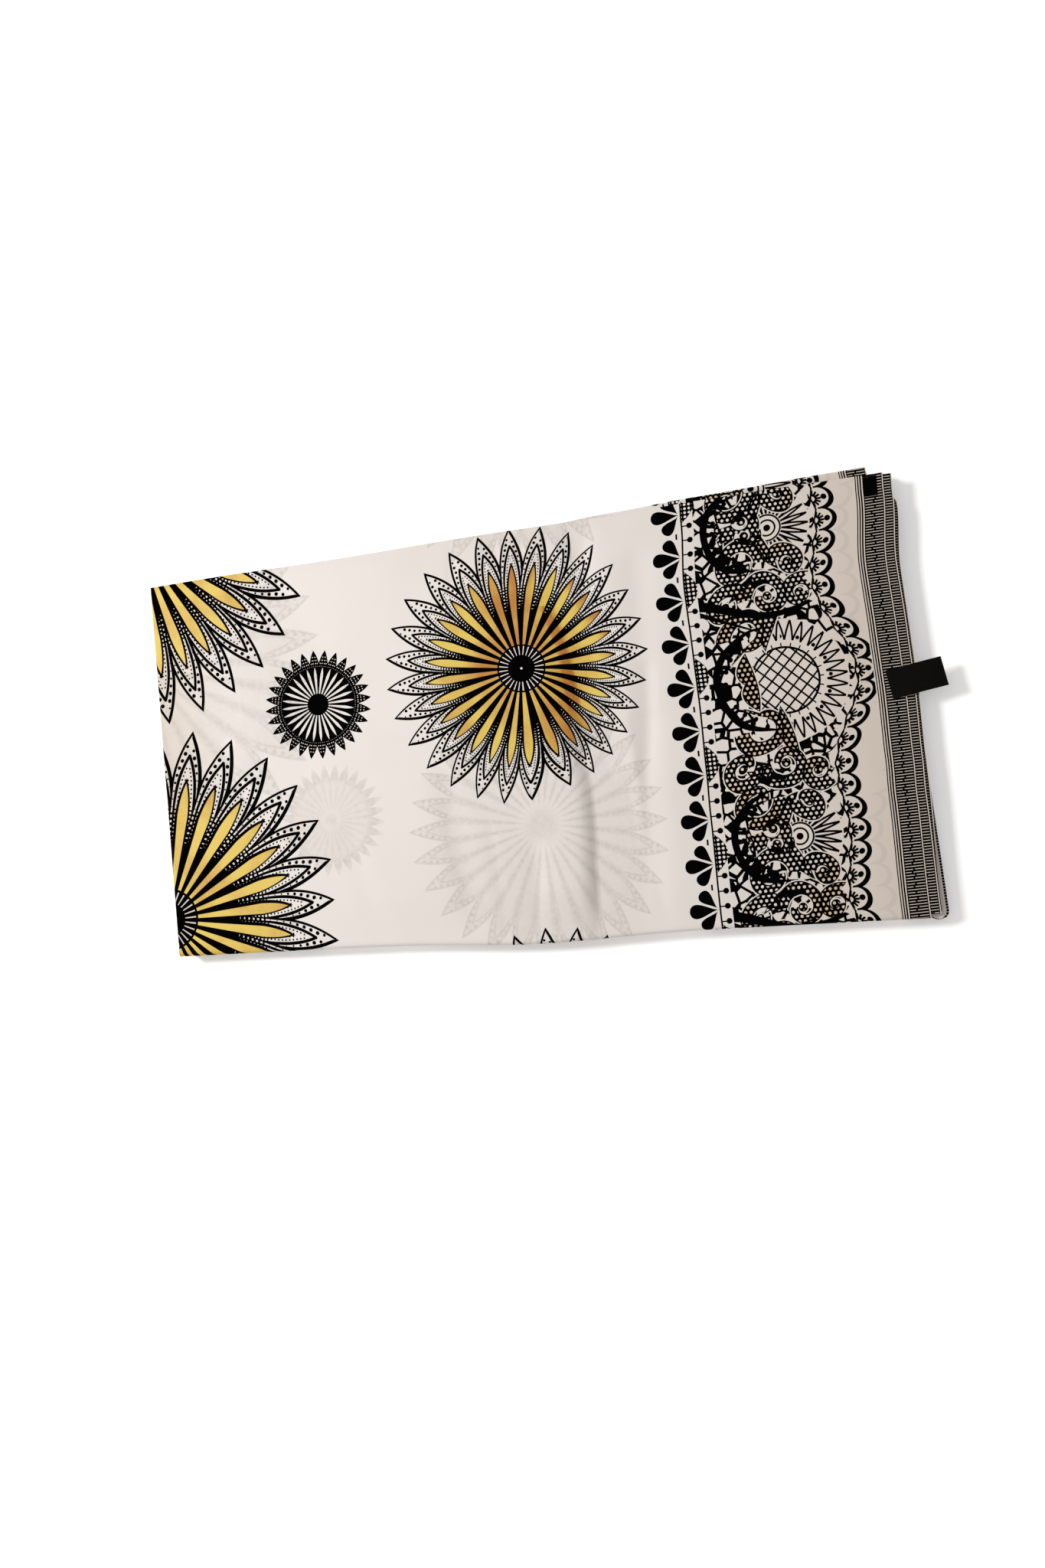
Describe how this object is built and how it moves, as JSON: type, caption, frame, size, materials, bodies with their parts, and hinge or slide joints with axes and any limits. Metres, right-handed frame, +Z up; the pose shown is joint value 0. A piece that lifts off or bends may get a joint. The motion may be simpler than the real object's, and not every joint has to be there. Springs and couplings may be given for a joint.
{
  "type": "folded ankara fabric",
  "caption": "Length of printed cotton cloth folded in half and then to and fro into a flat, low packet, with stepped selvedges and a bare label.",
  "frame": {"origin": "middle of the underside, which rests flat", "axes": "+X across the cloth's width, from the half fold to the selvedges; +Y along a panel, from the front fold to the raw end; +Z up"},
  "size_m": [0.6161, 0.3434, 0.0227],
  "materials": {
    "printed_cotton": "white cotton with a soft sheen, printed in black and gold",
    "folded_cotton": "the same printed cotton, seen at its folded edges",
    "label": "matt black woven label, bare"
  },
  "bodies": {
    "root": {"top_leaf": "printed_cotton", "second_leaf": "printed_cotton", "third_leaf": "printed_cotton", "folded_stack": "folded_cotton", "label": "label"}
  },
  "joints": []
}
